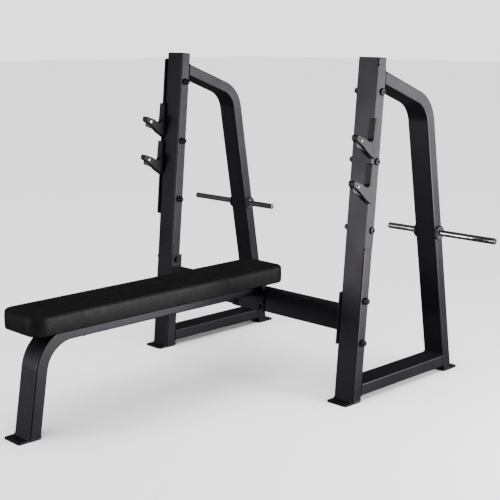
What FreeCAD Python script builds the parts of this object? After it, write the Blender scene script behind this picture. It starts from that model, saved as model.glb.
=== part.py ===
import FreeCAD, Part
import math
import os

# Flat press bench for an Olympic bar. Two side frames of bent rectangular tube carry two
# pairs of bar catches and a plate storage rod each; a bolted crossbar joins them, and a
# one-tube seat frame bolts to the middle of the crossbar. X runs along the crossbar, the
# user's feet are towards -Y and the head and the storage rods towards +Y. The origin is
# on the floor, in the middle of the footprint. Millimetres throughout.

# Overall sizes
total_length = 1880.0            # front edge of the front foot to rear edge of the rear feet
frame_width = 1220.0             # outer face to outer face of the uprights
upright_height = 1350.0          # floor to the top of the upright's cap, along its front face
bench_reach = 1172.0             # front edge of the front foot to the foot of the uprights

# Rectangular tube shared by the uprights, hoops, base rails, crossbar and seat frame
tube_wide = 100.0
tube_deep = 50.0
tube_wall = 3.0
tube_corner = 6.0                # outside corner radius of the tube
upright_lean = 4.9               # degrees, top of the upright towards the rear
hoop_drop = 20.8                 # degrees below level of the hoop's upper run
hoop_start_drop = 78.0           # top of the upright to the centre of the hoop's start
hoop_bend_radius = 125.0         # at the centre of the tube
rear_leg_lean = 9.2              # degrees, top of the rear leg towards the front
front_leg_lean = 9.1             # degrees, top of the front leg towards the rear
seat_bend_radius = 140.0         # at the centre of the tube
base_rail_clearance = 24.0       # floor to the underside of the base rails
crossbar_height = 328.0          # floor to the middle of the crossbar
seat_rail_rise = 67.0            # middle of the crossbar to the top of the seat rail

# Feet
foot_thickness = 8.0
foot_overhang = 44.0             # past the tube, where the floor anchor goes
foot_corner = 8.0
plate_edge_round = 1.0           # on the exposed edges of every frame plate
anchor_hole = 12.0               # diameter

# End caps of the uprights
cap_thickness = 5.0
cap_plug_depth = 16.0
cap_plug_clearance = 0.4
cap_edge_round = 2.0

# Crossbar end plates and their bolts through the uprights
end_plate_thickness = 8.0
end_plate_depth = 60.0
end_plate_height = 210.0
end_plate_bolt_spacing = 167.0

# Seat flange against the front of the crossbar
flange_width = 190.0
flange_thickness = 8.0
flange_bolt_spacing_x = 144.0
flange_bolt_spacing_z = 58.0

# Bench pad: a base board with an upholstered cushion on it
pad_length = 1270.0
pad_width = 232.0
pad_setback = 42.0               # front edge of the front foot to the foot end of the pad
pad_corner = 55.0                # corner radius seen from above
board_thickness = 10.0
board_inset = 8.0                # the cover is drawn down round the board's edge, with foam
cover_reveal = 1.0               # board left bare below the cover, where it lies on the rail
cushion_thickness = 62.0         # above the board
cushion_top_round = 9.0
cushion_bottom_round = 6.0
pad_bolt_spacing_x = 56.0
pad_bolt_spacing_y = 760.0
pad_bolt_front_setback = 270.0   # foot end of the pad to the first pair of pad bolts

# Bar catches. Heights are measured along the leaning upright, and forward distances
# from the upright's front face.
catch_plate_thickness = 8.0
catch_plate_length = 710.0
catch_plate_drop = 28.0          # top of the upright to the top of the plate
catch_plate_forward = 10.0       # how far the plate stands in front of the upright
catch_plate_back = 39.0          # how far it reaches back over the upright's side
catch_plate_corner = 10.0
catch_bolt_margin = 77.0         # bottom of the plate to its lowest bolt
catch_bolt_spacing = 266.0
upper_seat_drop = 288.5          # top of the plate to the bottom of the upper bar seat
seat_spacing = 172.5             # upper bar seat to the lower one
arm_root = 12.0                  # how far an arm's outline runs back into the plate
seat_reach = 44.0                # forward end of the flat bottom of the bar seat
tip_reach = 114.5                # forward end of the guard
tip_rise = 24.0                  # bottom of the bar seat to the top of the guard's tip
plate_tip_gap = 7.5              # end of the plate's arm to the end of the guard
guard_width = 30.0
guard_slot_clearance = 0.2       # each side of the plate
guard_back_gap = 1.5             # between the guard and the upright's front face
guard_strip_height = 86.0        # above the bottom of the bar seat
guard_strip_thickness = 15.0
guard_skirt = 70.0               # below the bottom of the bar seat
guard_edge_round = 1.8
guard_screw_forward = 90.0

# Plate storage rods through the rear legs
horn_diameter = 26.0
horn_height = 620.0
horn_outer_length = 275.0        # past the outer face of the leg
horn_inner_length = 158.0        # past the inner face of the leg
horn_end_chamfer = 2.0
journal_step = 4.0               # how much thicker the rod is inside the leg and the collars
collar_diameter = 60.0
collar_thickness = 10.0
collar_chamfer = 3.0

# Fasteners
frame_bolt = 16.0                # diameter of the bolts through the uprights
frame_bolt_flats = 24.0
frame_bolt_head = 10.0
frame_nut = 13.0
frame_washer_diameter = 30.0
frame_washer = 2.5
frame_bolt_end = 5.0             # thread showing past the nut
flange_bolt = 12.0
flange_bolt_flats = 18.0
flange_bolt_head = 7.5
flange_nut = 10.0
flange_washer_diameter = 24.0
flange_washer = 2.5
flange_bolt_end = 4.0
button_diameter = 28.0           # low round heads on the outside of the catch plates
button_height = 5.0
button_socket = 10.0             # across the flats
dome_nut_height = 13.0           # hexagon part of the domed nut
dome_radius = 11.5
dome_bore_depth = 14.0
pad_bolt = 8.0
pad_bolt_head_diameter = 14.0
pad_bolt_head = 5.0
pad_bolt_socket = 5.0
pad_washer_diameter = 20.0
pad_washer = 2.0
pad_bolt_cover = 1.0             # board left above the end of a pad bolt
guard_screw = 6.0
guard_screw_head_diameter = 11.0
guard_screw_head = 3.0
guard_screw_socket = 4.0
hexagon_chamfer = 25.0           # degrees, on the corners of every hexagon head and nut
hole_clearance = 1.0             # on the diameter, around every bolt

# Extra length given to tools and tubes before they are trimmed to a face
cut_margin = 5.0
tube_margin = 60.0
big = 4000.0                     # larger than the whole bench

# Positions that follow from the sizes above
front_edge = -total_length / 2.0
rear_edge = total_length / 2.0
upright_foot_y = front_edge + bench_reach
front_leg_foot_y = front_edge + foot_overhang
rear_leg_foot_y = rear_edge - foot_overhang
outer_x = frame_width / 2.0
inner_x = outer_x - tube_wide
frame_x = outer_x - tube_wide / 2.0
lean_angle = math.radians(upright_lean)
rear_angle = math.radians(rear_leg_lean)
front_angle = math.radians(front_leg_lean)
drop_angle = math.radians(hoop_drop)
upright_top = upright_height / math.cos(lean_angle)
tube_top = upright_top - cap_thickness
hoop_start_height = upright_height - hoop_start_drop
seat_rail_top = crossbar_height + seat_rail_rise
catch_plate_top = upright_top - catch_plate_drop
catch_plate_bottom = catch_plate_top - catch_plate_length
catch_bolt_heights = tuple(
    catch_plate_bottom + catch_bolt_margin + step * catch_bolt_spacing for step in range(3))
upper_seat_height = catch_plate_top - upper_seat_drop
lower_seat_height = upper_seat_height - seat_spacing
bolt_depth = tube_deep / 2.0     # every upright bolt runs through the middle of the tube

X_AXIS = FreeCAD.Vector(1, 0, 0)


def vector(x, y, z):
    return FreeCAD.Vector(x, y, z)


def box(x_range, y_range, z_range):
    """Block between the given limits on each axis."""
    size = [high - low for low, high in (x_range, y_range, z_range)]
    return Part.makeBox(size[0], size[1], size[2], vector(x_range[0], y_range[0], z_range[0]))


def rod(diameter, start, end):
    """Round bar from one point to another."""
    along = end - start
    return Part.makeCylinder(diameter / 2.0, along.Length, start, along)


def hexagon(across_flats, start, end):
    """Six-sided bar from one point to another."""
    radius = across_flats / math.sqrt(3.0)
    points = []
    for corner in range(7):
        turn = math.radians(60.0 * corner)
        points.append(vector(radius * math.cos(turn), radius * math.sin(turn), 0))
    along = end - start
    bar = Part.Face(Part.makePolygon(points)).extrude(vector(0, 0, along.Length))
    bar.Placement = FreeCAD.Placement(start, FreeCAD.Rotation(vector(0, 0, 1), along))
    return bar


def ring(outer_diameter, inner_diameter, start, end):
    """Washer or collar between two points."""
    return rod(outer_diameter, start, end).cut(rod(inner_diameter, start, end))


def chamfered_hexagon(across_flats, seat, crown):
    """Hexagon with its corners turned off at the crown, the end away from the seat."""
    along = crown - seat
    flat_radius = across_flats / 2.0
    height = along.Length
    slope = math.tan(math.radians(hexagon_chamfer))
    cone_base = flat_radius + height / slope
    cone = Part.makeCone(cone_base, flat_radius, height, seat, along)
    return hexagon(across_flats, seat, crown).common(cone)


def hex_nut(across_flats, bore, seat, crown):
    """Hexagon nut on its seat."""
    return chamfered_hexagon(across_flats, seat, crown).cut(rod(bore, seat, crown))


def hex_bolt(across_flats, diameter, head_top, under_head, shank_end):
    """Hexagon bolt from the top of its head to the end of its thread."""
    head = chamfered_hexagon(across_flats, under_head, head_top)
    return head.fuse(rod(diameter, under_head, shank_end))


def button_bolt(diameters, head_height, socket, head_top, under_head, shank_end):
    """Low round-headed bolt with a hexagon socket; diameters are the head's and the shank's."""
    head = rod(diameters[0], under_head, head_top)
    rim = [edge for edge in head.Edges
           if edge.isClosed() and (edge.CenterOfMass - head_top).Length < cut_margin / 10.0]
    head = head.makeFillet(head_height * 0.75, rim)
    socket_floor = head_top + (under_head - head_top) * 0.6
    bolt = head.fuse(rod(diameters[1], under_head, shank_end))
    return bolt.cut(hexagon(socket, socket_floor, head_top))


def rounded_rectangle(width, depth, radius):
    """Closed outline around the origin in the XY plane."""
    half_x = width / 2.0
    half_y = depth / 2.0
    in_x = half_x - radius
    in_y = half_y - radius
    bulge = radius * math.sqrt(0.5)
    edges = []
    for corner_x, corner_y, first_turn in ((1, 1, 0), (-1, 1, 90), (-1, -1, 180), (1, -1, 270)):
        centre = vector(corner_x * in_x, corner_y * in_y, 0)
        turn = math.radians(first_turn)
        start = centre + vector(math.cos(turn), math.sin(turn), 0) * radius
        end = centre + vector(-math.sin(turn), math.cos(turn), 0) * radius
        middle = centre + vector(corner_x * bulge, corner_y * bulge, 0)
        edges.append(Part.Arc(start, middle, end).toShape())
    sides = []
    for index in range(4):
        arc_end = edges[index].valueAt(edges[index].LastParameter)
        next_arc = edges[(index + 1) % 4]
        sides.append(Part.makeLine(arc_end, next_arc.valueAt(next_arc.FirstParameter)))
    return Part.Wire([edge for pair in zip(edges, sides) for edge in pair])


def tube_sections():
    """Outer and inner outline of the frame tube."""
    inside_corner = tube_corner - tube_wall
    outer = rounded_rectangle(tube_wide, tube_deep, tube_corner)
    inner = rounded_rectangle(
        tube_wide - 2 * tube_wall, tube_deep - 2 * tube_wall, inside_corner)
    return outer, inner


def bent_path(first, corner, last, radius):
    """Line, arc, line through three points, in a plane of constant X."""
    into = (corner - first).normalize()
    out = (last - corner).normalize()
    turn = into.getAngle(out)
    setback = radius * math.tan(turn / 2.0)
    bend_start = corner - into * setback
    bend_end = corner + out * setback
    inward = (out - into).normalize()
    centre = corner + inward * (radius / math.cos(turn / 2.0))
    bend_middle = centre - inward * radius
    return Part.Wire([
        Part.makeLine(first, bend_start),
        Part.Arc(bend_start, bend_middle, bend_end).toShape(),
        Part.makeLine(bend_end, last),
    ])


def sweep(section, path, start, direction):
    """Solid swept from a section in the XY plane along a path in a plane of constant X."""
    tilt = -math.degrees(math.atan2(direction.y, direction.z))
    placed = section.copy()
    placed.Placement = FreeCAD.Placement(start, FreeCAD.Rotation(X_AXIS, tilt))
    return Part.Solid(path.makePipeShell([placed], True, False))


def bent_tube(first, corner, last, radius):
    """Hollow frame tube along a bent path."""
    path = bent_path(first, corner, last, radius)
    direction = (corner - first).normalize()
    outer, inner = tube_sections()
    return sweep(outer, path, first, direction).cut(sweep(inner, path, first, direction))


def straight_tube(start, end):
    """Hollow frame tube between two points."""
    outer, inner = tube_sections()
    along = end - start
    upward = vector(0, 0, along.Length)
    tube = Part.Face(outer).extrude(upward).cut(Part.Face(inner).extrude(upward))
    tube.Placement = FreeCAD.Placement(start, FreeCAD.Rotation(vector(0, 0, 1), along))
    return tube


def above_floor_plates(shape):
    """Trims a leg level with the top of its foot plate."""
    return shape.common(box((-big, big), (-big, big), (foot_thickness, big)))


def on_upright(shape):
    """Places a shape drawn against a vertical upright onto the leaning one.

    In the drawing the upright's front face is the plane Y = 0 and its height starts
    at the floor.
    """
    placed = shape.copy()
    placed.rotate(vector(0, 0, 0), X_AXIS, -upright_lean)
    placed.translate(vector(0, upright_foot_y, 0))
    return placed


def upright_y(height, depth):
    """Y of a point a given depth behind the upright's front face, at a height."""
    return upright_foot_y + height * math.tan(lean_angle) + depth / math.cos(lean_angle)


def rear_leg_y(height, depth):
    """Y of a point a given depth in front of the rear leg's rear face, at a height."""
    return rear_leg_foot_y - height * math.tan(rear_angle) - depth / math.cos(rear_angle)


def front_leg_y(height, depth):
    """Y of a point a given depth behind the front leg's front face, at a height."""
    return front_leg_foot_y + height * math.tan(front_angle) + depth / math.cos(front_angle)


def one_solid(shape):
    """The single solid inside a boolean result."""
    solids = shape.Solids
    if len(solids) != 1:
        raise ValueError("expected one solid, got %d" % len(solids))
    return solids[0]


def save(name, shapes):
    """Writes one sub-part, a single solid or several equal ones."""
    solids = []
    for shape in shapes:
        solids.extend(shape.Solids)
    for solid in solids:
        if not solid.isValid() or solid.Volume <= 0:
            raise ValueError("bad solid in " + name)
    result = solids[0] if len(solids) == 1 else Part.makeCompound(solids)
    result.exportStep("parts/%s.step" % name)


def smooth_outline(points, rounds):
    """Closed wire in the YZ plane through (forward, height) points.

    Each point has its own corner radius; forward distances are towards -Y.
    """
    corners = [vector(0, -forward, height) for forward, height in points]
    count = len(corners)
    starts = []
    ends = []
    middles = []
    for index in range(count):
        corner = corners[index]
        before = (corners[index - 1] - corner).normalize()
        after = (corners[(index + 1) % count] - corner).normalize()
        opening = before.getAngle(after)
        setback = rounds[index] / math.tan(opening / 2.0)
        starts.append(corner + before * setback)
        ends.append(corner + after * setback)
        inward = (before + after).normalize()
        to_centre = rounds[index] / math.sin(opening / 2.0)
        middles.append(corner + inward * (to_centre - rounds[index]))
    edges = []
    for index in range(count):
        if rounds[index] > 0:
            edges.append(Part.Arc(starts[index], middles[index], ends[index]).toShape())
        following = (index + 1) % count
        edges.append(Part.makeLine(ends[index], starts[following]))
    return Part.Wire(edges)


def slab(outline, x_low, x_high):
    """Plate of a YZ outline between two X positions."""
    face = Part.Face(outline)
    face.translate(vector(x_low, 0, 0))
    return face.extrude(vector(x_high - x_low, 0, 0))


def round_edges(shape, radius, chosen):
    """Fillets the edges for which chosen(edge) is true."""
    return shape.makeFillet(radius, [edge for edge in shape.Edges if chosen(edge)])


def foot_plate(x_centre, y_range, anchor_y):
    """Welded floor plate with one anchor hole in its overhang."""
    y_low, y_high = y_range
    outline = rounded_rectangle(tube_wide, y_high - y_low, foot_corner)
    plate = Part.Face(outline).extrude(vector(0, 0, foot_thickness))
    plate = round_edges(
        plate, plate_edge_round,
        lambda edge: edge.BoundBox.ZMin > foot_thickness - plate_edge_round)
    plate.translate(vector(x_centre, (y_low + y_high) / 2.0, 0))
    below = vector(x_centre, anchor_y, -cut_margin)
    above = vector(x_centre, anchor_y, foot_thickness + cut_margin)
    return one_solid(plate.cut(rod(anchor_hole, below, above)))


def across_upright(x, height):
    """Point on a bolt's axis, drawn against a vertical upright."""
    return vector(x, bolt_depth, height)


os.makedirs("parts", exist_ok=True)
sides = (("left", -1.0), ("right", 1.0))

# Levels along the crossbar, measured up the leaning uprights for its end plates
crossbar_centre_y = upright_y(crossbar_height, tube_deep / 2.0)
crossbar_front_y = crossbar_centre_y - tube_deep / 2.0
crossbar_rear_y = crossbar_centre_y + tube_deep / 2.0
crossbar_up = crossbar_height / math.cos(lean_angle) + tube_deep / 2.0 * math.tan(lean_angle)
end_plate_bolt_heights = (
    crossbar_up - end_plate_bolt_spacing / 2.0,
    crossbar_up + end_plate_bolt_spacing / 2.0,
)

# Uprights: leaning tubes with a cap, a foot plate and through holes for every bolt
caps = []
for name, side in sides:
    x_centre = side * frame_x
    tube = straight_tube(
        vector(x_centre, tube_deep / 2.0, -tube_margin),
        vector(x_centre, tube_deep / 2.0, tube_top))
    for height in catch_bolt_heights + end_plate_bolt_heights:
        start = across_upright(side * (inner_x - cut_margin), height)
        end = across_upright(side * (outer_x + cut_margin), height)
        tube = tube.cut(rod(frame_bolt + hole_clearance, start, end))
    save("upright_" + name, [one_solid(above_floor_plates(on_upright(tube)))])
    save("upright_foot_" + name, [foot_plate(
        x_centre,
        (upright_foot_y - foot_overhang, upright_y(foot_thickness, tube_deep)),
        upright_foot_y - foot_overhang / 2.0)])

    lid = Part.Face(rounded_rectangle(tube_wide, tube_deep, tube_corner)).extrude(
        vector(0, 0, cap_thickness))
    lid = round_edges(
        lid, cap_edge_round, lambda edge: edge.BoundBox.ZMin > cap_thickness - cap_edge_round)
    plug_wide = tube_wide - 2 * (tube_wall + cap_plug_clearance)
    plug_deep = tube_deep - 2 * (tube_wall + cap_plug_clearance)
    plug = Part.Face(rounded_rectangle(
        plug_wide, plug_deep, tube_corner - tube_wall)).extrude(vector(0, 0, cap_plug_depth))
    plug.translate(vector(0, 0, -cap_plug_depth))
    cap = lid.fuse(plug)
    cap.translate(vector(x_centre, tube_deep / 2.0, tube_top))
    caps.append(on_upright(cap))
save("upright_caps", caps)

# Rear hoops: from high on the upright's back, round one bend and down to the rear foot
behind_upright = on_upright(box((-big, big), (tube_deep, big), (-big, big)))
hoop_start = vector(0, upright_y(hoop_start_height, tube_deep), hoop_start_height)
run_down = vector(0, math.cos(drop_angle), -math.sin(drop_angle))
leg_down = vector(0, math.sin(rear_angle), -math.cos(rear_angle))
leg_end = vector(0, rear_leg_y(-tube_margin, tube_deep / 2.0), -tube_margin)
run_reach = ((leg_end - hoop_start).cross(leg_down).x) / (run_down.cross(leg_down).x)
hoop_corner = hoop_start + run_down * run_reach
horn_y = rear_leg_y(horn_height, tube_deep / 2.0)
horn_journal = horn_diameter + journal_step
collars = []
for name, side in sides:
    shift = vector(side * frame_x, 0, 0)
    hoop = bent_tube(
        hoop_start - run_down * tube_margin + shift, hoop_corner + shift, leg_end + shift,
        hoop_bend_radius)
    hoop = above_floor_plates(hoop.common(behind_upright))
    horn_inner_end = vector(side * (inner_x - horn_inner_length), horn_y, horn_height)
    horn_outer_end = vector(side * (outer_x + horn_outer_length), horn_y, horn_height)
    horn = rod(horn_diameter, horn_inner_end, horn_outer_end)
    end_edges = [edge for edge in horn.Edges if edge.isClosed() and edge.Length > horn_diameter]
    horn = horn.makeChamfer(horn_end_chamfer, end_edges)
    journal = rod(
        horn_journal,
        vector(side * (inner_x - collar_thickness), horn_y, horn_height),
        vector(side * (outer_x + collar_thickness), horn_y, horn_height))
    save("rear_hoop_" + name, [one_solid(hoop.cut(journal))])
    save("horn_" + name, [one_solid(horn.fuse(journal))])

    for face_x, way in ((outer_x, 1.0), (inner_x, -1.0)):
        start = vector(side * face_x, horn_y, horn_height)
        end = vector(side * (face_x + way * collar_thickness), horn_y, horn_height)
        disc = rod(collar_diameter, start, end)
        rim = [edge for edge in disc.Edges
               if edge.isClosed() and abs(edge.CenterOfMass.x - end.x) < cut_margin]
        disc = disc.makeChamfer(collar_chamfer, rim)
        collars.append(disc.cut(rod(horn_journal, start, end)))

    save("rear_foot_" + name, [foot_plate(
        side * frame_x,
        (rear_leg_y(foot_thickness, tube_deep), rear_edge),
        rear_edge - foot_overhang / 2.0)])
save("horn_collars", collars)

# Base rails: level tubes low between the upright and the rear leg
ahead_of_rear_leg = box((-big, big), (-big, -tube_deep), (-big, big))
ahead_of_rear_leg.rotate(vector(0, 0, 0), X_AXIS, rear_leg_lean)
ahead_of_rear_leg.translate(vector(0, rear_leg_foot_y, 0))
base_rail_z = base_rail_clearance + tube_deep / 2.0
for name, side in sides:
    rail = straight_tube(
        vector(side * frame_x, upright_foot_y, base_rail_z),
        vector(side * frame_x, rear_leg_foot_y, base_rail_z))
    rail = rail.common(behind_upright).common(ahead_of_rear_leg)
    save("base_rail_" + name, [one_solid(rail)])

# Crossbar: a tube on edge between two end plates that bolt to the uprights' inner faces
crossbar_half = inner_x - end_plate_thickness
flange_bolt_points = []
for step_x in (-0.5, 0.5):
    for step_z in (-0.5, 0.5):
        flange_bolt_points.append((
            step_x * flange_bolt_spacing_x,
            crossbar_height + step_z * flange_bolt_spacing_z))
crossbar = straight_tube(
    vector(-crossbar_half, crossbar_centre_y, crossbar_height),
    vector(crossbar_half, crossbar_centre_y, crossbar_height))
for x, z in flange_bolt_points:
    crossbar = crossbar.cut(rod(
        flange_bolt + hole_clearance,
        vector(x, crossbar_front_y - cut_margin, z), vector(x, crossbar_rear_y + cut_margin, z)))
save("crossbar", [one_solid(crossbar)])

frame_bore = frame_bolt + hole_clearance
under_head_x = crossbar_half - frame_washer
nut_face_x = outer_x + frame_washer
nut_end_x = nut_face_x + frame_nut
frame_bolts = []
frame_washers = []
frame_nuts = []
for name, side in sides:
    plate = box(
        (0, end_plate_thickness),
        (bolt_depth - end_plate_depth / 2.0, bolt_depth + end_plate_depth / 2.0),
        (crossbar_up - end_plate_height / 2.0, crossbar_up + end_plate_height / 2.0))
    plate = plate.makeFillet(plate_edge_round, plate.Edges)
    plate.translate(vector(crossbar_half if side > 0 else -inner_x, 0, 0))
    for height in end_plate_bolt_heights:
        head_top, under_head, washer_end, plate_end, upright_end, nut_face, nut_end, bolt_end = [
            across_upright(side * x, height) for x in (
                under_head_x - frame_bolt_head, under_head_x, crossbar_half, inner_x, outer_x,
                nut_face_x, nut_end_x, nut_end_x + frame_bolt_end)]
        plate = plate.cut(rod(frame_bore, under_head, plate_end))
        frame_bolts.append(on_upright(
            hex_bolt(frame_bolt_flats, frame_bolt, head_top, under_head, bolt_end)))
        for start, end in ((under_head, washer_end), (upright_end, nut_face)):
            frame_washers.append(on_upright(ring(frame_washer_diameter, frame_bore, start, end)))
        frame_nuts.append(on_upright(hex_nut(frame_bolt_flats, frame_bolt, nut_face, nut_end)))
    save("crossbar_plate_" + name, [one_solid(on_upright(plate))])
save("crossbar_bolts", frame_bolts)
save("crossbar_washers", frame_washers)
save("crossbar_nuts", frame_nuts)

# Seat frame: the front leg and the rail under the pad are one bent tube, with a flange
# welded to its rear end and four bolts through the crossbar
rail_z = seat_rail_top - tube_deep / 2.0
flange_front_y = crossbar_front_y - flange_thickness
leg_foot = vector(0, front_leg_y(-tube_margin, tube_deep / 2.0), -tube_margin)
seat_corner = vector(0, front_leg_y(rail_z, tube_deep / 2.0), rail_z)
seat_rail = bent_tube(leg_foot, seat_corner, vector(0, flange_front_y, rail_z), seat_bend_radius)
seat_rail = above_floor_plates(seat_rail)
pad_front_y = front_edge + pad_setback
pad_rear_y = pad_front_y + pad_length
pad_bolt_points = []
for step_x in (-0.5, 0.5):
    for step_y in (0.0, 1.0):
        pad_bolt_points.append((
            step_x * pad_bolt_spacing_x,
            pad_front_y + pad_bolt_front_setback + step_y * pad_bolt_spacing_y))
rail_bottom = seat_rail_top - tube_deep
for x, y in pad_bolt_points:
    seat_rail = seat_rail.cut(rod(
        pad_bolt + hole_clearance,
        vector(x, y, rail_bottom - cut_margin), vector(x, y, seat_rail_top + cut_margin)))
save("seat_rail", [one_solid(seat_rail)])
save("front_foot", [foot_plate(
    0,
    (front_edge, front_leg_y(foot_thickness, tube_deep)),
    front_edge + foot_overhang / 2.0)])

flange = box(
    (-flange_width / 2.0, flange_width / 2.0),
    (flange_front_y, crossbar_front_y),
    (crossbar_height - tube_wide / 2.0, seat_rail_top))
flange = flange.makeFillet(plate_edge_round, flange.Edges)
flange_bore = flange_bolt + hole_clearance
under_head_y = flange_front_y - flange_washer
nut_face_y = crossbar_rear_y + flange_washer
nut_end_y = nut_face_y + flange_nut
flange_bolts = []
flange_washers = []
flange_nuts = []
for x, z in flange_bolt_points:
    head_top, under_head, flange_face, bar_front, bar_rear, nut_face, nut_end, bolt_end = [
        vector(x, y, z) for y in (
            under_head_y - flange_bolt_head, under_head_y, flange_front_y, crossbar_front_y,
            crossbar_rear_y, nut_face_y, nut_end_y, nut_end_y + flange_bolt_end)]
    flange = flange.cut(rod(flange_bore, under_head, bar_front))
    flange_bolts.append(
        hex_bolt(flange_bolt_flats, flange_bolt, head_top, under_head, bolt_end))
    for start, end in ((under_head, flange_face), (bar_rear, nut_face)):
        flange_washers.append(ring(flange_washer_diameter, flange_bore, start, end))
    flange_nuts.append(hex_nut(flange_bolt_flats, flange_bolt, nut_face, nut_end))
save("seat_flange", [one_solid(flange)])
save("flange_bolts", flange_bolts)
save("flange_washers", flange_washers)
save("flange_nuts", flange_nuts)

# Pad: board on the rail, bolts up through the rail into the board, and a cushion over the
# board and down round its edge
pad_centre = vector(0, (pad_front_y + pad_rear_y) / 2.0, 0)
board_top = seat_rail_top + board_thickness
board = Part.Face(rounded_rectangle(
    pad_width - 2 * board_inset, pad_length - 2 * board_inset,
    pad_corner - board_inset)).extrude(vector(0, 0, board_thickness))
board.translate(pad_centre + vector(0, 0, seat_rail_top))
board_pocket = board.copy()
under_head_z = rail_bottom - pad_washer
pad_bolts = []
pad_washers = []
for x, y in pad_bolt_points:
    head_top, under_head, washer_end, board_face, bolt_end = [
        vector(x, y, z) for z in (
            under_head_z - pad_bolt_head, under_head_z, rail_bottom, seat_rail_top,
            board_top - pad_bolt_cover)]
    board = board.cut(rod(pad_bolt, board_face, bolt_end))
    pad_bolts.append(button_bolt(
        (pad_bolt_head_diameter, pad_bolt), pad_bolt_head, pad_bolt_socket,
        head_top, under_head, bolt_end))
    pad_washers.append(
        ring(pad_washer_diameter, pad_bolt + hole_clearance, under_head, washer_end))
save("pad_board", [one_solid(board)])
save("pad_bolts", pad_bolts)
save("pad_washers", pad_washers)

cushion_height = board_thickness - cover_reveal + cushion_thickness
cushion = Part.Face(rounded_rectangle(pad_width, pad_length, pad_corner)).extrude(
    vector(0, 0, cushion_height))
touch = 0.01
top_edges = [edge for edge in cushion.Edges if edge.BoundBox.ZMin > cushion_height - touch]
cushion = cushion.makeFillet(cushion_top_round, top_edges)
bottom_edges = [edge for edge in cushion.Edges if edge.BoundBox.ZMax < touch]
cushion = cushion.makeFillet(cushion_bottom_round, bottom_edges)
cushion.translate(pad_centre + vector(0, 0, seat_rail_top + cover_reveal))
cushion = cushion.cut(board_pocket)
save("pad_cushion", [one_solid(cushion)])

# Bar catches: one cut plate on the outside of each upright with two arms, each arm
# wearing a moulded guard that slots over the plate's edge and makes the bar seat
plate_outer_x = outer_x + catch_plate_thickness
plate_middle_x = outer_x + catch_plate_thickness / 2.0
guard_low_x = plate_middle_x - guard_width / 2.0
guard_high_x = plate_middle_x + guard_width / 2.0


def arm_outline(seat):
    """Plate arm, as a closed outline that overlaps the vertical strip."""
    root = catch_plate_forward - arm_root
    end = tip_reach - plate_tip_gap
    points = [
        (root, seat - 12.0), (seat_reach - 5.0, seat - 13.0), (seat_reach + 23.0, seat - 2.0),
        (end - 2.0, seat + tip_rise - 14.0), (end, seat - 23.0), (seat_reach + 29.0, seat - 32.0),
        (seat_reach + 4.0, seat - 42.0), (26.0, seat - 58.0), (root, seat - 78.0)]
    rounds = [0.0, 14.0, 20.0, 8.0, 5.0, 40.0, 40.0, 20.0, 0.0]
    return smooth_outline(points, rounds)


def guard_outline(seat):
    """Side view of the moulded guard: back strip, bar seat, arm and rounded tip."""
    back = guard_back_gap
    front = guard_back_gap + guard_strip_thickness
    floor = seat - 1.5
    points = [
        (back, seat + guard_strip_height), (front, seat + guard_strip_height),
        (front + 3.5, floor), (seat_reach, floor), (seat_reach + 23.0, seat + 10.5),
        (tip_reach, seat + tip_rise), (tip_reach, seat + 1.0), (75.0, seat - 21.0),
        (39.0, seat - 49.0), (back, seat - guard_skirt)]
    rounds = [2.0, 4.0, 13.0, 18.0, 30.0, 7.0, 5.0, 60.0, 40.0, 3.0]
    return smooth_outline(points, rounds)


def plate_slab(outline, clearance):
    """An outline as thick as the catch plate, with a clearance on each side."""
    return slab(outline, outer_x - clearance, plate_outer_x + clearance)


def across_edges(shape, radius):
    """Rounds both long rims of a slab, the edges that lie in its two flat faces."""
    return round_edges(shape, radius, lambda edge: edge.BoundBox.XLength < cut_margin / 10.0)


def domed_nut(height):
    """Closed nut on the inside of the right-hand upright, before it is leaned."""
    nut_face = across_upright(inner_x - frame_washer, height)
    dome_centre = nut_face - X_AXIS * dome_nut_height
    dome = Part.makeSphere(dome_radius, dome_centre).common(box(
        (dome_centre.x - big, nut_face.x - dome_nut_height / 2.0), (-big, big), (-big, big)))
    nut = chamfered_hexagon(frame_bolt_flats, nut_face, dome_centre).fuse(dome)
    return nut.cut(rod(frame_bolt, nut_face - X_AXIS * dome_bore_depth, nut_face))


def on_side(shape, side):
    """Takes a shape drawn for the right-hand upright to either leaning upright."""
    if side > 0:
        return on_upright(shape)
    return on_upright(shape.mirror(vector(0, 0, 0), X_AXIS))


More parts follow.
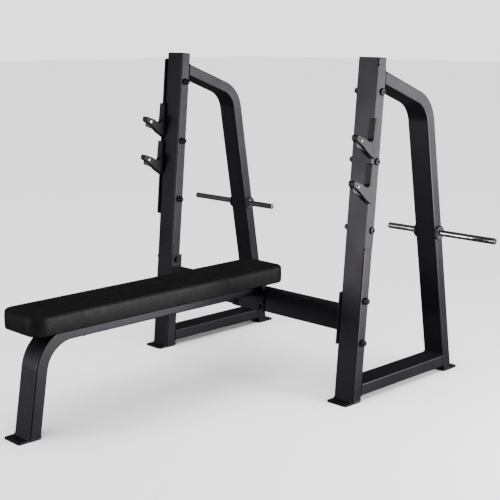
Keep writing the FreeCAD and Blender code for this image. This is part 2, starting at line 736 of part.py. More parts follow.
strip = smooth_outline(
    [(catch_plate_forward, catch_plate_bottom), (-catch_plate_back, catch_plate_bottom),
     (-catch_plate_back, catch_plate_top), (catch_plate_forward, catch_plate_top)],
    [catch_plate_corner] * 4)
screw_bore = guard_screw + hole_clearance
catch_bolts = []
catch_washers = []
catch_nuts = []
guard_screws = []
guard_nuts = []
for name, side in sides:
    plate = plate_slab(strip, 0)
    for seat in (upper_seat_height, lower_seat_height):
        plate = plate.fuse(plate_slab(arm_outline(seat), 0))
    plate = across_edges(plate.removeSplitter(), plate_edge_round)
    strip_slot = plate_slab(strip, guard_slot_clearance)

    for label, seat in (("upper", upper_seat_height), ("lower", lower_seat_height)):
        arm_slot = plate_slab(arm_outline(seat), guard_slot_clearance)
        guard = across_edges(slab(guard_outline(seat), guard_low_x, guard_high_x), guard_edge_round)
        guard = guard.cut(strip_slot).cut(arm_slot)
        low = vector(guard_low_x, -guard_screw_forward, seat)
        high = vector(guard_high_x, -guard_screw_forward, seat)
        head_top = high + X_AXIS * guard_screw_head
        nut_top = low - X_AXIS * guard_screw_head
        plate = plate.cut(rod(screw_bore, low, high))
        guard = guard.cut(rod(screw_bore, low, high))
        save("%s_guard_%s" % (label, name), [one_solid(on_side(guard, side))])
        screw = button_bolt(
            (guard_screw_head_diameter, guard_screw), guard_screw_head, guard_screw_socket,
            head_top, high, nut_top)
        nut = ring(guard_screw_head_diameter, guard_screw, nut_top, low)
        guard_screws.append(on_side(screw, side))
        guard_nuts.append(on_side(nut, side))

    for height in catch_bolt_heights:
        head_face_x = plate_outer_x + frame_washer
        plate_inside, plate_outside, head_face, head_top, bolt_end, nut_face, upright_inside = [
            across_upright(x, height) for x in (
                outer_x, plate_outer_x, head_face_x, head_face_x + button_height,
                inner_x - frame_washer - dome_bore_depth, inner_x - frame_washer, inner_x)]
        plate = plate.cut(rod(frame_bore, plate_inside, plate_outside))
        for start, end in ((plate_outside, head_face), (nut_face, upright_inside)):
            catch_washers.append(
                on_side(ring(frame_washer_diameter, frame_bore, start, end), side))
        bolt = button_bolt(
            (button_diameter, frame_bolt), button_height, button_socket,
            head_top, head_face, bolt_end)
        catch_bolts.append(on_side(bolt, side))
        catch_nuts.append(on_side(domed_nut(height), side))
    save("catch_plate_" + name, [one_solid(on_side(plate, side))])
save("catch_bolts", catch_bolts)
save("catch_washers", catch_washers)
save("catch_nuts", catch_nuts)
save("guard_screws", guard_screws)
save("guard_nuts", guard_nuts)
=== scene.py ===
import math

import bmesh
import bpy
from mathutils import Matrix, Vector


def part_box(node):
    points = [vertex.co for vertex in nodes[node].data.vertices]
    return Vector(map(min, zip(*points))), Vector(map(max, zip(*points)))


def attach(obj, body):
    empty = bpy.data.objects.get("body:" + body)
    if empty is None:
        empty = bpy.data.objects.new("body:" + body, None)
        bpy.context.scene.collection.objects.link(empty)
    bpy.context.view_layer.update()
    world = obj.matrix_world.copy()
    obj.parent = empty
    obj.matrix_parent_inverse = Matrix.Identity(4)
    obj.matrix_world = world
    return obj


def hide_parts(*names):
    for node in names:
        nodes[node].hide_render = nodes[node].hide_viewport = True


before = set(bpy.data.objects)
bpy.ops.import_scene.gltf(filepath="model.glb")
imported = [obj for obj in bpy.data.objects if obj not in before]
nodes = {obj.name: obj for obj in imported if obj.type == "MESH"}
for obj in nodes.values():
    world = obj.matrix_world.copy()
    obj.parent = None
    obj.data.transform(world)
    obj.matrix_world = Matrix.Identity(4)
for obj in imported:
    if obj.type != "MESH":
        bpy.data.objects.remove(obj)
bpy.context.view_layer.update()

# ---------------------------------------------------------------- painted frame
# Mild steel rectangular tube and plate, sawn, bent and welded, then given one thick coat
# of charcoal powder paint with a trace of metallic flake, baked to a satin finish.


def srgb(code):
    """Linear colour of an sRGB hex value."""
    parts = [int(code[i:i + 2], 16) / 255.0 for i in (1, 3, 5)]
    return tuple([p / 12.92 if p <= 0.04045 else ((p + 0.055) / 1.055) ** 2.4
                  for p in parts] + [1.0])


def add_node(tree, kind, sockets=None, settings=None):
    """Adds a node, sets its fields, and sets or links its inputs by name or number."""
    node = tree.nodes.new(kind)
    for field, value in (settings or {}).items():
        setattr(node, field, value)
    for key, value in (sockets or {}).items():
        socket = node.inputs[key]
        if isinstance(value, bpy.types.NodeSocket):
            tree.links.new(value, socket)
        else:
            socket.default_value = value
    return node


def start_material(name):
    """A new material with its shader tree and Object coordinates."""
    material = bpy.data.materials.new(name)
    material.use_nodes = True
    tree = material.node_tree
    tree.nodes.clear()
    place = add_node(tree, "ShaderNodeTexCoord").outputs["Object"]
    return material, tree, place


def finish_material(tree, shader_sockets):
    """Adds the surface shader and joins it to the output."""
    shader = add_node(tree, "ShaderNodeBsdfPrincipled", shader_sockets)
    add_node(tree, "ShaderNodeOutputMaterial", {"Surface": shader.outputs["BSDF"]})


def mottle(tree, place, size, low, high, detail=2.0):
    """Soft noise of a size in metres, spread from the low value to the high one."""
    noise = add_node(tree, "ShaderNodeTexNoise", {
        "Vector": place, "Scale": 1.0 / size, "Detail": detail, "Roughness": 0.55})
    spread = add_node(tree, "ShaderNodeMapRange", {
        "Value": noise.outputs["Fac"], "From Min": 0.3, "From Max": 0.7,
        "To Min": low, "To Max": high})
    return spread.outputs["Result"]


def two_tone(tree, mix, first, second):
    """Colour that runs between two hex colours."""
    blend = add_node(tree, "ShaderNodeMix", {"Factor": mix}, {"data_type": "RGBA"})
    blend.inputs["A"].default_value = srgb(first)
    blend.inputs["B"].default_value = srgb(second)
    return blend.outputs["Result"]


def bump(tree, height, depth, strength=1.0, below=None):
    """Bump of a height field from 0 to 1, as deep as depth in metres."""
    sockets = {"Height": height, "Distance": depth, "Strength": strength}
    if below is not None:
        sockets["Normal"] = below
    return add_node(tree, "ShaderNodeBump", sockets).outputs["Normal"]


# Powder paint: a soft, slightly pebbled skin. The orange peel is about 3 mm across; the
# flake is really 0.1 mm and is drawn at 0.9 mm so that it shows as a faint grain.
PEEL = 0.003
FLAKE = 0.0009
powder_paint, tree, place = start_material("charcoal_powder_paint")
flake = mottle(tree, place, FLAKE, 0.0, 1.0, 1.0)
finish_material(tree, {
    "Base Color": two_tone(tree, flake, "#0a090b", "#121014"),
    "Roughness": mottle(tree, place, 0.12, 0.36, 0.44),
    "Metallic": 0.3,
    "Specular Tint": srgb("#f6f1fd"),
    "Normal": bump(tree, mottle(tree, place, PEEL, 0.0, 1.0), 0.00012),
})

PAINTED = (
    "base_rail_left", "base_rail_right", "catch_plate_left", "catch_plate_right", "crossbar",
    "crossbar_plate_left", "crossbar_plate_right", "front_foot", "rear_foot_left",
    "rear_foot_right", "rear_hoop_left", "rear_hoop_right", "seat_flange", "seat_rail",
    "upright_foot_left", "upright_foot_right", "upright_left", "upright_right")


def finish_nodes(names, material):
    """Gives CAD pieces their finish."""
    for name in names:
        for slot in nodes[name].material_slots:
            slot.material = material


finish_nodes(PAINTED, powder_paint)

# ---------------------------------------------------------------- welds
# Fillet welds where a tube meets a tube or a plate, laid by hand with a wire feed torch
# and painted over, so that the ripples of the bead show softly through the paint.
TUBE_WIDE = 0.100
TUBE_DEEP = 0.050
TUBE_CORNER = 0.006
CORNER_STEPS = 4
WELD_RADIUS = 0.0034
WELD_RIPPLE = 0.0042
WELD_STEP = 0.0013
RIPPLE_HEIGHT = 0.09             # of the radius
HAND_THIN, HAND_THICK = 0.82, 1.14
HAND_SCALE = 70.0                # changes of the torch's pace, to the metre
BEAD_SIDES = 10


def tube_outline(centre, wide_way, deep_way, along, plane_point, plane_normal):
    """Where a tube's skin meets a plane: a closed run of points.

    centre is any point on the tube's axis, and along is the way it runs.
    """
    points = []
    for corner_x, corner_y, turn in ((1, 1, 0), (-1, 1, 90), (-1, -1, 180), (1, -1, 270)):
        for step in range(CORNER_STEPS + 1):
            angle = math.radians(turn + 90 * step / CORNER_STEPS)
            across = corner_x * (TUBE_WIDE / 2 - TUBE_CORNER) + TUBE_CORNER * math.cos(angle)
            through = corner_y * (TUBE_DEEP / 2 - TUBE_CORNER) + TUBE_CORNER * math.sin(angle)
            skin = centre + wide_way * across + deep_way * through
            reach = (plane_point - skin).dot(plane_normal) / along.dot(plane_normal)
            points.append(skin + along * reach)
    return points


def closed_wires(name, loops):
    """Mesh of closed edge loops, the paths that a bead follows."""
    mesh = bpy.data.meshes.new(name)
    vertices = []
    edges = []
    for loop in loops:
        first = len(vertices)
        vertices.extend(loop)
        count = len(loop)
        edges.extend((first + i, first + (i + 1) % count) for i in range(count))
    mesh.from_pydata(vertices, edges, [])
    piece = bpy.data.objects.new(name, mesh)
    bpy.context.scene.collection.objects.link(piece)
    return piece


def node_group(name, inputs):
    """Geometry Nodes tree with a geometry input and output and the named sizes."""
    group = bpy.data.node_groups.new(name, "GeometryNodeTree")
    face = group.interface
    face.new_socket("Geometry", in_out="INPUT", socket_type="NodeSocketGeometry")
    for label, kind, value in inputs:
        socket = face.new_socket(label, in_out="INPUT", socket_type=kind)
        if value is not None:
            socket.default_value = value
    face.new_socket("Geometry", in_out="OUTPUT", socket_type="NodeSocketGeometry")
    source = add_node(group, "NodeGroupInput").outputs
    return group, source


def close_group(group, geometry, material):
    """Realizes the instances, sets the material and joins the group's output."""
    real = add_node(group, "GeometryNodeRealizeInstances", {"Geometry": geometry})
    dressed = add_node(group, "GeometryNodeSetMaterial", {
        "Geometry": real.outputs["Geometry"], "Material": material})
    add_node(group, "NodeGroupOutput", {"Geometry": dressed.outputs["Geometry"]})


def grow(piece, group, values):
    """Runs a Geometry Nodes tree on a piece and keeps the result as its plain mesh."""
    modifier = piece.modifiers.new("grow", "NODES")
    modifier.node_group = group
    for item in group.interface.items_tree:
        if item.in_out == "INPUT" and item.name in values:
            modifier[item.identifier] = values[item.name]
    graph = bpy.context.evaluated_depsgraph_get()
    made = bpy.data.meshes.new_from_object(piece.evaluated_get(graph))
    piece.modifiers.remove(modifier)
    piece.data = made
    made.name = piece.name
    return piece


bead, source = node_group("weld_bead", [
    ("Radius", "NodeSocketFloat", WELD_RADIUS),
    ("Ripple", "NodeSocketFloat", WELD_RIPPLE),
    ("Seed", "NodeSocketFloat", 3.0),
])
wire = add_node(bead, "GeometryNodeMeshToCurve", {"Mesh": source["Geometry"]})
even = add_node(bead, "GeometryNodeResampleCurve", {
    "Curve": wire.outputs["Curve"], "Length": WELD_STEP}, {"mode": "LENGTH"})
run = add_node(bead, "GeometryNodeSplineParameter").outputs["Length"]
turns = add_node(bead, "ShaderNodeMath", {0: run, 1: source["Ripple"]}, {"operation": "DIVIDE"})
phase = add_node(bead, "ShaderNodeMath", {0: turns.outputs[0], 1: math.tau},
                 {"operation": "MULTIPLY"})
wave = add_node(bead, "ShaderNodeMath", {0: phase.outputs[0]}, {"operation": "SINE"})
hand = add_node(bead, "ShaderNodeTexNoise", {
    "Scale": HAND_SCALE, "Detail": 1.0, "W": source["Seed"]}, {"noise_dimensions": "4D"})
wobble = add_node(bead, "ShaderNodeMapRange", {
    "Value": hand.outputs["Fac"], "From Min": 0.3, "From Max": 0.7,
    "To Min": HAND_THIN, "To Max": HAND_THICK})
rippled = add_node(bead, "ShaderNodeMath", {
    0: wave.outputs[0], 1: RIPPLE_HEIGHT, 2: wobble.outputs[0]}, {"operation": "MULTIPLY_ADD"})
width = add_node(bead, "ShaderNodeMath", {0: rippled.outputs[0], 1: source["Radius"]},
                 {"operation": "MULTIPLY"})
ring = add_node(bead, "GeometryNodeCurvePrimitiveCircle", {"Resolution": BEAD_SIDES, "Radius": 1.0})
skin = add_node(bead, "GeometryNodeCurveToMesh", {
    "Curve": even.outputs["Curve"], "Profile Curve": ring.outputs["Curve"],
    "Scale": width.outputs[0]})
smooth = add_node(bead, "GeometryNodeSetShadeSmooth", {"Geometry": skin.outputs["Mesh"]})
close_group(bead, smooth.outputs["Geometry"], powder_paint)

X = Vector((1, 0, 0))
Y = Vector((0, 1, 0))
Z = Vector((0, 0, 1))

# The ways that the tubes run, and the ways their narrow sides face
LEAN = math.radians(4.9)
REAR_LEAN = math.radians(9.2)
FRONT_LEAN = math.radians(9.1)
HOOP_DROP = math.radians(20.8)
upright_up = Vector((0, math.sin(LEAN), math.cos(LEAN)))
upright_back = Vector((0, math.cos(LEAN), -math.sin(LEAN)))
rear_leg_up = Vector((0, -math.sin(REAR_LEAN), math.cos(REAR_LEAN)))
rear_leg_back = Vector((0, math.cos(REAR_LEAN), math.sin(REAR_LEAN)))
front_leg_up = Vector((0, math.sin(FRONT_LEAN), math.cos(FRONT_LEAN)))
front_leg_back = Vector((0, math.cos(FRONT_LEAN), -math.sin(FRONT_LEAN)))
hoop_along = Vector((0, math.cos(HOOP_DROP), -math.sin(HOOP_DROP)))
hoop_up = Vector((0, math.sin(HOOP_DROP), math.cos(HOOP_DROP)))

for side in ("left", "right"):
    low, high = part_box("upright_" + side)
    foot_low, foot_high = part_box("upright_foot_" + side)
    rear_low, rear_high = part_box("rear_hoop_" + side)
    rail_low, rail_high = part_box("base_rail_" + side)
    middle = (low[0] + high[0]) / 2
    foot_top = foot_high[2]
    upright_front = Vector((middle, low[1], foot_top))
    upright_axis = upright_front + upright_back * (TUBE_DEEP / 2)
    upright_rear = upright_front + upright_back * TUBE_DEEP
    leg_rear = Vector((middle, rear_high[1], foot_top))
    leg_axis = leg_rear - rear_leg_back * (TUBE_DEEP / 2)
    leg_front = leg_rear - rear_leg_back * TUBE_DEEP
    rail_axis = Vector((middle, 0, (rail_low[2] + rail_high[2]) / 2))
    hoop_top = Vector((middle, 0, rear_high[2]))
    hoop_top.y = upright_rear.y + (hoop_top.z - foot_top) * math.tan(LEAN)
    hoop_axis = hoop_top - hoop_up * (TUBE_DEEP / 2)
    floor_plane = Vector((0, 0, foot_top))
    loops = [
        tube_outline(upright_axis, X, upright_back, upright_up, floor_plane, Z),
        tube_outline(leg_axis, X, rear_leg_back, rear_leg_up, floor_plane, Z),
        tube_outline(rail_axis, X, Z, Y, upright_rear, upright_back),
        tube_outline(rail_axis, X, Z, Y, leg_front, rear_leg_back),
        tube_outline(hoop_axis, X, hoop_up, hoop_along, upright_rear, upright_back),
    ]
    welds = grow(closed_wires("welds_side_" + side, loops), bead, {"Radius": WELD_RADIUS})
    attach(welds, "root")

low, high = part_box("crossbar")
bar_axis = Vector((0, (low[1] + high[1]) / 2, (low[2] + high[2]) / 2))
rail_low, rail_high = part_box("seat_rail")
rail_axis = Vector((0, 0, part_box("seat_flange")[1][2] - TUBE_DEEP / 2))
foot_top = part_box("front_foot")[1][2]
leg_front = Vector((0, rail_low[1], foot_top))
loops = [
    tube_outline(bar_axis, Z, Y, X, Vector((low[0], 0, 0)), X),
    tube_outline(bar_axis, Z, Y, X, Vector((high[0], 0, 0)), X),
    tube_outline(rail_axis, X, Z, Y, Vector((0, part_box("seat_flange")[0][1], 0)), Y),
    tube_outline(leg_front + front_leg_back * (TUBE_DEEP / 2), X, front_leg_back, front_leg_up,
                 Vector((0, 0, foot_top)), Z),
]
welds = grow(closed_wires("welds_middle", loops), bead, {"Radius": WELD_RADIUS})
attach(welds, "root")

# ---------------------------------------------------------------- fasteners
# Steel bolts, washers and nuts in black zinc plate, a thin dark film with a faint brown
# cast and a dull gleam; the bolts have rolled threads.
black_zinc, tree, place = start_material("black_zinc_plate")
finish_material(tree, {
    "Base Color": two_tone(tree, mottle(tree, place, 0.004, 0.0, 1.0), "#161617", "#2c2b2c"),
    "Roughness": mottle(tree, place, 0.006, 0.3, 0.46),
    "Metallic": 0.75,
    "Normal": bump(tree, mottle(tree, place, 0.0012, 0.0, 1.0), 0.00005),
})
finish_nodes((
    "catch_bolts", "catch_nuts", "catch_washers", "crossbar_bolts", "crossbar_nuts",
    "crossbar_washers", "flange_bolts", "flange_nuts", "flange_washers", "pad_bolts",
    "pad_washers"), black_zinc)

bright_zinc, tree, place = start_material("bright_zinc_plate")
finish_material(tree, {
    "Base Color": two_tone(tree, mottle(tree, place, 0.003, 0.0, 1.0), "#a9a9ab", "#c4c3c2"),
    "Roughness": mottle(tree, place, 0.004, 0.22, 0.34),
    "Metallic": 1.0,
})
finish_nodes(("guard_screws", "guard_nuts"), bright_zinc)

# ---------------------------------------------------------------- storage rods
# Solid round bar, ground, polished and hard chromed, with rubber buffer rings pushed up
# against both faces of each rear leg.
hard_chrome, tree, place = start_material("polished_hard_chrome")
finish_material(tree, {
    "Base Color": srgb("#c9cacd"),
    "Roughness": mottle(tree, place, 0.03, 0.16, 0.24),
    "Metallic": 1.0,
})
finish_nodes(("horn_left", "horn_right"), hard_chrome)

buffer_rubber, tree, place = start_material("moulded_buffer_rubber")
finish_material(tree, {
    "Base Color": two_tone(tree, mottle(tree, place, 0.01, 0.0, 1.0), "#121213", "#1b1b1c"),
    "Roughness": mottle(tree, place, 0.008, 0.55, 0.72),
    "Normal": bump(tree, mottle(tree, place, 0.0009, 0.0, 1.0), 0.00008),
})
finish_nodes(("horn_collars",), buffer_rubber)

# ---------------------------------------------------------------- pad
# Firm foam on a base board, covered in black upholstery vinyl. The cover is a top panel and a
# side band, sewn together round the top edge and drawn down round the board's edge. One cross
# seam runs over the top and both sides, and the band is joined near each head corner.
pad_low, pad_high = [Vector(corner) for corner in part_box("pad_cushion")]
board_low, board_high = [Vector(corner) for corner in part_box("pad_board")]
pad_centre = (pad_low + pad_high) / 2
half_width = (pad_high.x - pad_low.x) / 2
half_length = (pad_high.y - pad_low.y) / 2
BOARD_GAP = 0.0004
board_inset = board_low.x - pad_low.x + BOARD_GAP
PAD_CORNER = 0.055
CROSS_SEAM_FROM_HEAD = 0.340
BAND_SEAM_BEFORE_CORNER = 0.008
cross_seam_y = pad_high.y - pad_centre.y - CROSS_SEAM_FROM_HEAD


def evenly(low, high, spacing):
    """Values from low to high, both ends kept, about a spacing apart."""
    count = max(1, round((high - low) / spacing))
    return [low + (high - low) * i / count for i in range(count + 1)]


# Lines that cross the pad: close together at the cross seam and at the band's joins
WIDE_STEP = 0.0065
CROSS_STEP, CROSS_ZONE = 0.0011, 0.008
BAND_STEP, BAND_ZONE = 0.0010, 0.004
straight_x = half_width - PAD_CORNER
straight_y = half_length - PAD_CORNER
band_seam_y = straight_y - BAND_SEAM_BEFORE_CORNER
rows = (evenly(-straight_y, cross_seam_y - CROSS_ZONE, WIDE_STEP)[:-1]
        + evenly(cross_seam_y - CROSS_ZONE, cross_seam_y + CROSS_ZONE, CROSS_STEP)
        + evenly(cross_seam_y + CROSS_ZONE, band_seam_y - BAND_ZONE, WIDE_STEP)[1:-1]
        + evenly(band_seam_y - BAND_ZONE, band_seam_y + BAND_ZONE, BAND_STEP)
        + evenly(band_seam_y + BAND_ZONE, straight_y, WIDE_STEP)[1:])
columns = evenly(-straight_x, straight_x, WIDE_STEP)
BEND_STEPS = 10
ARC = [math.radians(90 * i / BEND_STEPS) for i in range(1, BEND_STEPS)]


def pad_outline(inset, height):
    """Ring of points round the pad, an inset inside its plan and at a height."""
    radius = PAD_CORNER - inset
    side = half_width - inset
    end = half_length - inset
    bend = [(straight_x + radius * math.cos(a), straight_y + radius * math.sin(a)) for a in ARC]
    flat = ([(side, y) for y in rows] + bend
            + [(x, end) for x in reversed(columns)] + [(-x, y) for x, y in reversed(bend)]
            + [(-side, y) for y in reversed(rows)] + [(-x, -y) for x, y in bend]
            + [(x, -end) for x in columns] + [(x, -y) for x, y in reversed(bend)])
    return [Vector((pad_centre.x + x, pad_centre.y + y, height)) for x, y in flat]


# Section of the cover, from the board's pocket out under the lip, up the side band, over the
# edge seam and in over the top panel
base = pad_low.z
top = pad_high.z
LIP_ROUND = 0.006
TOP_ROUND = 0.009
SHOULDER = 0.020                 # where the finely divided edge of the top panel ends
GRID_INSET = 0.050
BAND_LINES, EDGE_LINES, TOP_LINES = 0.0045, 0.0012, 0.0055
pocket_roof = board_high.z + 0.0003
section = [(board_inset, pocket_roof), (board_inset, base)]
section += [(LIP_ROUND * (1 - math.sin(a)), base + LIP_ROUND * (1 - math.cos(a)))
            for a in [math.radians(15 * i) for i in range(7)]]
section += [(0.0, z) for z in evenly(base + LIP_ROUND, top - TOP_ROUND, BAND_LINES)[1:]]
section += [(TOP_ROUND * (1 - math.cos(a)), top - TOP_ROUND * (1 - math.sin(a)))
            for a in [math.radians(5 * i) for i in range(1, 19)]]
section += [(x, top) for x in evenly(TOP_ROUND, SHOULDER, EDGE_LINES)[1:]]
section += [(x, top) for x in evenly(SHOULDER, GRID_INSET, TOP_LINES)[1:]]

shell = bmesh.new()
rings = [[shell.verts.new(point) for point in pad_outline(inset, height)]
         for inset, height in section]
count = len(rings[0])
for lower, upper in zip(rings, rings[1:]):
    for i in range(count):
        j = (i + 1) % count
        shell.faces.new((lower[i], lower[j], upper[j], upper[i]))
shell.faces.new(list(reversed(rings[0])))

# Top panel inside the last ring: a grid of rows and columns, closed at the rounded corners
edge = rings[-1]
row_count = len(rows)
column_count = len(columns)
bend_count = len(ARC)
right = edge[:row_count]
turn_1 = edge[row_count:row_count + bend_count]
head = edge[row_count + bend_count:row_count + bend_count + column_count][::-1]
past_head = row_count + bend_count + column_count
turn_2 = edge[past_head:past_head + bend_count]
left = edge[past_head + bend_count:past_head + bend_count + row_count][::-1]
past_left = past_head + bend_count + row_count
turn_3 = edge[past_left:past_left + bend_count]
foot = edge[past_left + bend_count:past_left + bend_count + column_count]
turn_4 = edge[past_left + bend_count + column_count:]
inner = [[shell.verts.new((pad_centre.x + x, pad_centre.y + y, top)) for x in columns]
         for y in rows]
for i in range(row_count - 1):
    first = [left[i]] + inner[i] + [right[i]]
    second = [left[i + 1]] + inner[i + 1] + [right[i + 1]]
    for j in range(len(first) - 1):
        shell.faces.new((first[j], first[j + 1], second[j + 1], second[j]))
for i in range(column_count - 1):
    shell.faces.new((inner[-1][i], inner[-1][i + 1], head[i + 1], head[i]))
    shell.faces.new((foot[i], foot[i + 1], inner[0][i + 1], inner[0][i]))
shell.faces.new([inner[-1][-1], right[-1]] + turn_1 + [head[-1]])
shell.faces.new([inner[-1][0], head[0]] + turn_2 + [left[-1]])
shell.faces.new([inner[0][0], left[0]] + turn_3 + [foot[0]])
shell.faces.new([inner[0][-1], foot[-1]] + turn_4 + [right[0]])

# ---------------------------------------------------------------- pad seams
# Every seam draws the cover about 2 mm into the foam in a narrow channel, and puckers the
# vinyl a little on both sides of it. Between seams the foam swells the cover slightly.
SEAM_HALF = 0.0034
SEAM_DEPTH = 0.0019
BAND_SEAM_HALF, BAND_SEAM_DEPTH = 0.003, 0.0016
PUCKER_DEPTH = 0.0005
PUCKER_START = 0.006             # from a seam's line to the deepest part of its puckers
EDGE_PUCKER_HALF, CROSS_PUCKER_HALF = 0.012, 0.014
CROWN = 0.0022                   # rise of the top panel
CROWN_REACH, CROWN_SLACK = 0.045, 0.030
SIDE_SWELL = 0.0012
SEAM_END = base + 0.004          # the cross seam and the joins end here, on the lip
TOP_SKIN = top - 0.002           # above this the cover is the top panel
EDGE_WAVES_LONG, EDGE_WAVES_WIDE, CROSS_WAVES = 250.0, 310.0, 300.0    # radians to the metre
EDGE_BEAT, CROSS_BEAT = (0.37, 1.3), (0.41, 0.7)                       # ratio and shift


def channel(distance, half, depth):
    """Depth of a seam channel at a distance from its line."""
    if abs(distance) >= half:
        return 0.0
    return depth * (0.5 + 0.5 * math.cos(math.pi * distance / half))


def plan_inset(point):
    """How far a point lies inside the pad's plan outline."""
    dx = abs(point.x - pad_centre.x) - straight_x
    dy = abs(point.y - pad_centre.y) - straight_y
    outside = math.hypot(max(dx, 0.0), max(dy, 0.0)) + min(max(dx, dy), 0.0)
    return PAD_CORNER - outside


def pucker(distance, half, phase, beat):
    """Depth of the uneven puckers beside a seam, at a phase along it in radians."""
    ratio, shift = beat
    swing = 0.5 + 0.5 * math.sin(phase) * math.sin(phase * ratio + shift)
    return channel(distance - PUCKER_START, half, PUCKER_DEPTH) * swing


shell.normal_update()
seam_angle = math.radians(45)
seam_inset = TOP_ROUND * (1 - math.cos(seam_angle))
seam_height = top - TOP_ROUND * (1 - math.sin(seam_angle))
moves = []
for vertex in shell.verts:
    point = vertex.co
    inset = plan_inset(point)
    y = point.y - pad_centre.y
    if inset > board_inset - BOARD_GAP / 2 and point.z < board_high.z + 0.001:
        moves.append(Vector())
        continue
    from_edge_seam = math.hypot(inset - seam_inset, point.z - seam_height)
    pull = channel(from_edge_seam, SEAM_HALF, SEAM_DEPTH)
    along_edge = y * EDGE_WAVES_LONG + (point.x - pad_centre.x) * EDGE_WAVES_WIDE
    pull += pucker(from_edge_seam, EDGE_PUCKER_HALF, along_edge, EDGE_BEAT)
    if point.z > SEAM_END:
        pull = max(pull, channel(y - cross_seam_y, SEAM_HALF, SEAM_DEPTH))
        along_cross = (point.x + point.z) * CROSS_WAVES
        pull += pucker(abs(y - cross_seam_y), CROSS_PUCKER_HALF, along_cross, CROSS_BEAT)
    if SEAM_END < point.z < seam_height and abs(y) < straight_y:
        pull = max(pull, channel(y - band_seam_y, BAND_SEAM_HALF, BAND_SEAM_DEPTH))
    swell = 0.0
    if point.z > TOP_SKIN:
        swell = CROWN * min(1.0, max(0.0, inset - TOP_ROUND) / CROWN_REACH) ** 0.6
        swell *= min(1.0, abs(y - cross_seam_y) / CROWN_SLACK) ** 0.5
    elif point.z > base + LIP_ROUND:
        rise = (point.z - base - LIP_ROUND) / (top - TOP_ROUND - base - LIP_ROUND)
        swell = SIDE_SWELL * math.sin(math.pi * min(rise, 1.0))
    moves.append(vertex.normal * (swell - pull))
for vertex, move in zip(shell.verts, moves):
    vertex.co += move
for face in shell.faces:
    face.smooth = True
mesh = bpy.data.meshes.new("pad_cover")
shell.to_mesh(mesh)
shell.free()
cushion = bpy.data.objects.new("pad_cover", mesh)
bpy.context.scene.collection.objects.link(cushion)

# Upholstery vinyl: pebbled like leather, grain 1 mm really and drawn at 1.6 mm, with a dull
# gloss that softens over the grain and faint larger creases in the skin.
VINYL_GRAIN = 0.0016
vinyl, tree, place = start_material("black_upholstery_vinyl")
pebble = add_node(tree, "ShaderNodeTexVoronoi", {
    "Vector": place, "Scale": 1.0 / VINYL_GRAIN, "Randomness": 0.9},
    {"feature": "SMOOTH_F1"})
crease = mottle(tree, place, 0.045, 0.0, 1.0, 3.0)
grained = bump(tree, pebble.outputs["Distance"], 0.00022, 0.6)
finish_material(tree, {
    "Base Color": two_tone(tree, mottle(tree, place, 0.03, 0.0, 1.0), "#0b0a0b", "#121112"),
    "Roughness": mottle(tree, place, 0.02, 0.42, 0.54),
    "Specular IOR Level": 0.09,
    "Normal": bump(tree, crease, 0.0005, 0.5, grained),
})
mesh.materials.append(vinyl)
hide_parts("pad_cushion")
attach(cushion, "root")

# Base board: black moulded backing with a fine grain
base_board, tree, place = start_material("moulded_base_board")
finish_material(tree, {
    "Base Color": two_tone(tree, mottle(tree, place, 0.006, 0.0, 1.0), "#131314", "#1a1a1b"),
    "Roughness": mottle(tree, place, 0.01, 0.5, 0.62),
    "Normal": bump(tree, mottle(tree, place, 0.001, 0.0, 1.0), 0.0001),
})
finish_nodes(("pad_board",), base_board)

# ---------------------------------------------------------------- bar catches and caps
# Guards and caps are injection moulded in dark nylon with a fine spark-eroded grain,
# about 0.3 mm and drawn at 0.7 mm.
nylon, tree, place = start_material("moulded_black_nylon")
finish_material(tree, {
    "Base Color": two_tone(tree, mottle(tree, place, 0.02, 0.0, 1.0), "#0a0a0b", "#101011"),
    "Roughness": mottle(tree, place, 0.012, 0.46, 0.58),
    "Specular IOR Level": 0.35,
    "Normal": bump(tree, mottle(tree, place, 0.0007, 0.0, 1.0), 0.00008),
})
finish_nodes((
    "upper_guard_left", "upper_guard_right", "lower_guard_left", "lower_guard_right",
    "upright_caps"), nylon)

# ---------------------------------------------------------------- studio
# A pale sweep and large soft lights: one sheet of light overhead, boxes at the right and low
# beside the bench for the side faces, and boxes at the front left for the fronts and the rods.
sweep_paint, tree, place = start_material("pale_sweep")
finish_material(tree, {"Base Color": srgb("#f8f8f8"), "Roughness": 0.95})
SWEEP_SIZE = 80.0
bpy.ops.mesh.primitive_plane_add(size=SWEEP_SIZE, location=(0, 0, 0))
floor = bpy.context.object
floor.name = "floor"
floor.data.materials.append(sweep_paint)
floor.visible_glossy = False

BACKDROP_GLOW = 2.15
ROOM_GLOW = 0.07
world = bpy.data.worlds.new("studio_air")
bpy.context.scene.world = world
world.use_nodes = True
air = world.node_tree
air.nodes.clear()
seen = add_node(air, "ShaderNodeLightPath").outputs["Is Camera Ray"]
strength = add_node(air, "ShaderNodeMapRange", {
    "Value": seen, "To Min": ROOM_GLOW, "To Max": BACKDROP_GLOW})
glow = add_node(air, "ShaderNodeBackground", {
    "Color": srgb("#ffffff"), "Strength": strength.outputs["Result"]})
add_node(air, "ShaderNodeOutputWorld", {"Surface": glow.outputs["Background"]})


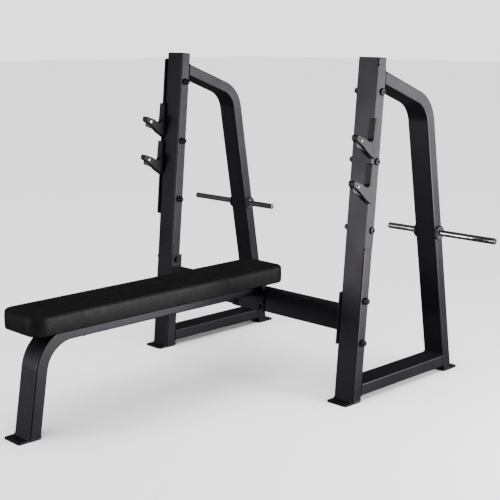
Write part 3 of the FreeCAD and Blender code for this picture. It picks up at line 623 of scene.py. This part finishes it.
def hung(data, name, place, aim):
    """Places a lamp and turns it to face a point."""
    lamp = bpy.data.objects.new(name, data)
    lamp.location = place
    lamp.rotation_mode = "QUATERNION"
    lamp.rotation_quaternion = (Vector(aim) - Vector(place)).to_track_quat("-Z", "Y")
    bpy.context.scene.collection.objects.link(lamp)
    return lamp


def soft_box(name, place, aim, size, power):
    """Rectangular soft box that faces a point."""
    data = bpy.data.lights.new(name, "AREA")
    data.shape = "RECTANGLE"
    data.size, data.size_y = size
    data.energy = power
    hung(data, name, place, aim)


OVERHEAD_STRENGTH = 6.2
OVERHEAD_SPREAD = math.radians(75)
overhead = bpy.data.lights.new("overhead", "SUN")
overhead.energy = OVERHEAD_STRENGTH
overhead.angle = OVERHEAD_SPREAD
sky = hung(overhead, "overhead", (0.6, -1.2, 6.0), (0, 0, 0))
sky.visible_glossy = False
for name, place, aim, size, power in (
        ("side_light", (4.6, 4.4, 1.1), (0.2, 0.2, 0.6), (3.2, 1.8), 190.0),
        ("low_light", (2.6, 0.9, 0.45), (0.0, -0.6, 0.3), (1.5, 0.7), 130.0),
        ("front_light", (-2.5, -5.4, 0.8), (0.5, 0.2, 0.9), (1.3, 1.0), 165.0),
        ("tall_light", (-3.2, -6.6, 3.4), (0.5, 0.4, 0.7), (3.2, 3.0), 52.0)):
    soft_box(name, place, aim, size, power)

CAMERA_PLACE = Vector((3.2207, -2.9433, 1.4538))
TURN = math.radians(45.133)
TILT = math.radians(11.064)
back = Vector((math.sin(TURN) * math.cos(TILT), -math.cos(TURN) * math.cos(TILT), math.sin(TILT)))
lens = bpy.data.cameras.new("camera")
lens.sensor_width = 36.0
lens.lens = 78.49
lens.shift_x = 0.0018
lens.shift_y = -0.0157
lens.clip_start = 0.1
lens.clip_end = 100.0
camera = bpy.data.objects.new("camera", lens)
camera.location = CAMERA_PLACE
camera.rotation_mode = "QUATERNION"
camera.rotation_quaternion = (-back).to_track_quat("-Z", "Y")
bpy.context.scene.collection.objects.link(camera)
bpy.context.scene.camera = camera
